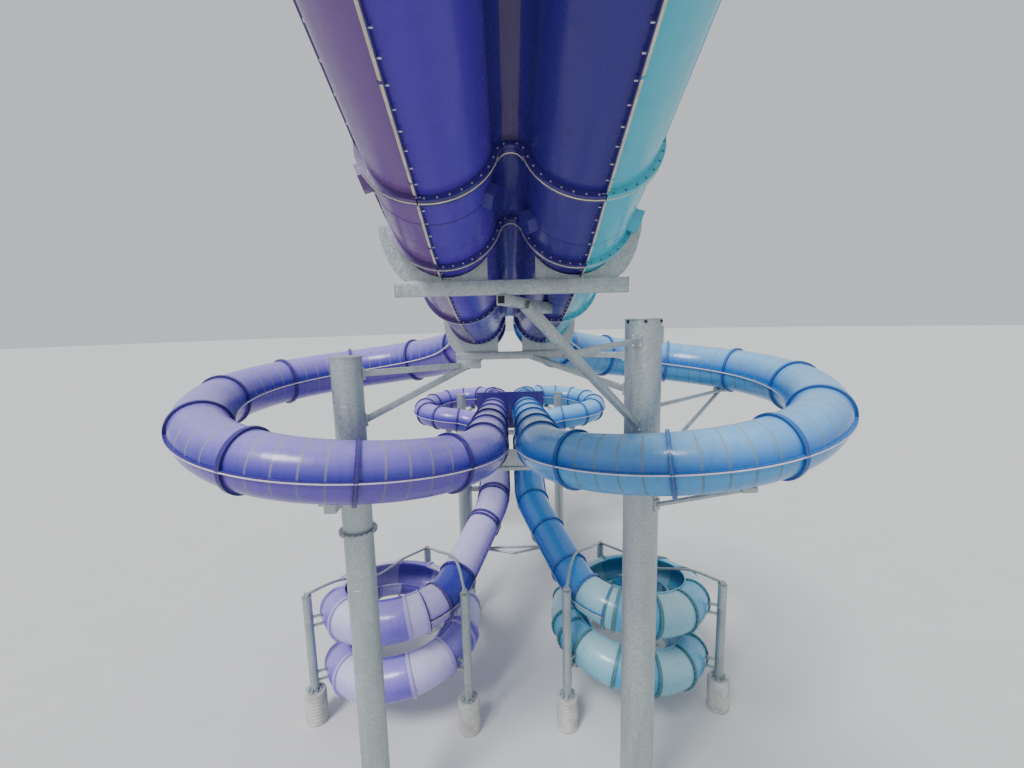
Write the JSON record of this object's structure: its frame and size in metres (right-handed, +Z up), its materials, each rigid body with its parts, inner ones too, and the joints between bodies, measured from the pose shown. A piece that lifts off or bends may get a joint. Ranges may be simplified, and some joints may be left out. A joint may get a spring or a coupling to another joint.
{
  "type": "twin racing tube water slide",
  "caption": "Two mirrored tube flumes that run down side by side, loop round twice and end in open helices, on steel columns.",
  "frame": {"origin": "on the ground, under the middle of the whole slide", "axes": "+Z up, +Y the way the riders first travel, +X to their right"},
  "size_m": [18.52, 37.2248, 20.6156],
  "materials": {
    "violet_gelcoat": "glossy gelcoat on fibreglass, a little chalky from the sun",
    "deep_violet_gelcoat": "glossy gelcoat on fibreglass, a little chalky from the sun",
    "mauve_gelcoat": "glossy gelcoat on fibreglass, a little chalky from the sun",
    "lavender_gelcoat": "glossy gelcoat on fibreglass, a little chalky from the sun",
    "sky_blue_gelcoat": "glossy gelcoat on fibreglass, a little chalky from the sun",
    "deep_blue_gelcoat": "glossy gelcoat on fibreglass, a little chalky from the sun",
    "aqua_gelcoat": "glossy gelcoat on fibreglass, a little chalky from the sun",
    "turquoise_gelcoat": "glossy gelcoat on fibreglass, a little chalky from the sun",
    "galvanised_steel": "hot-dip galvanised, dull with spangle",
    "concrete": "pale cast concrete, smooth"
  },
  "bodies": {
    "root": {"left_trough_outer_shell": "mauve_gelcoat", "right_trough_outer_shell": "turquoise_gelcoat", "left_trough_cover": "violet_gelcoat", "right_trough_cover": "sky_blue_gelcoat", "trough_middle_shell": "deep_violet_gelcoat", "left_wide_loop_first_upper_shell": "violet_gelcoat", "right_wide_loop_first_upper_shell": "sky_blue_gelcoat", "left_wide_loop_first_lower_shell": "violet_gelcoat", "right_wide_loop_first_lower_shell": "sky_blue_gelcoat", "left_wide_loop_second_upper_shell": "violet_gelcoat", "right_wide_loop_second_upper_shell": "sky_blue_gelcoat", "left_wide_loop_second_lower_shell": "violet_gelcoat", "right_wide_loop_second_lower_shell": "sky_blue_gelcoat", "left_long_run_tube": "violet_gelcoat", "right_long_run_tube": "sky_blue_gelcoat", "left_small_loop_upper_shell": "violet_gelcoat", "right_small_loop_upper_shell": "sky_blue_gelcoat", "left_drop_upper_shell": "lavender_gelcoat", "right_drop_upper_shell": "deep_blue_gelcoat", "left_small_loop_lower_shell": "violet_gelcoat", "right_small_loop_lower_shell": "sky_blue_gelcoat", "left_drop_lower_shell": "lavender_gelcoat", "right_drop_lower_shell": "deep_blue_gelcoat", "left_helix_upper_flume": "lavender_gelcoat", "right_helix_upper_flume": "aqua_gelcoat", "left_helix_middle_flume": "lavender_gelcoat", "right_helix_middle_flume": "aqua_gelcoat", "left_helix_lower_flume": "lavender_gelcoat", "right_helix_lower_flume": "aqua_gelcoat", "front_crossbeam": "galvanised_steel", "second_crossbeam": "galvanised_steel", "left_front_column": "galvanised_steel", "right_front_column": "galvanised_steel", "right_loop_far_arm": "galvanised_steel", "right_loop_near_strut": "galvanised_steel", "head_support": "galvanised_steel", "rear_support": "galvanised_steel", "left_small_loop_column": "galvanised_steel", "right_small_loop_column": "galvanised_steel", "left_helix_outer_post": "galvanised_steel", "right_helix_outer_post": "galvanised_steel", "left_helix_outer_pedestal": "concrete", "right_helix_outer_pedestal": "concrete", "left_helix_inner_post": "galvanised_steel", "right_helix_inner_post": "galvanised_steel", "left_helix_inner_pedestal": "concrete", "right_helix_inner_pedestal": "concrete", "left_helix_back_post": "galvanised_steel", "right_helix_back_post": "galvanised_steel", "left_helix_back_pedestal": "concrete", "right_helix_back_pedestal": "concrete", "left_helix_tie_pipe": "galvanised_steel", "right_helix_tie_pipe": "galvanised_steel", "left_run_out_stand": "galvanised_steel", "right_run_out_stand": "galvanised_steel", "drop_tube_tie": "galvanised_steel", "centre_yoke": "galvanised_steel", "long_run_bulkhead": "violet_gelcoat"}
  },
  "joints": []
}
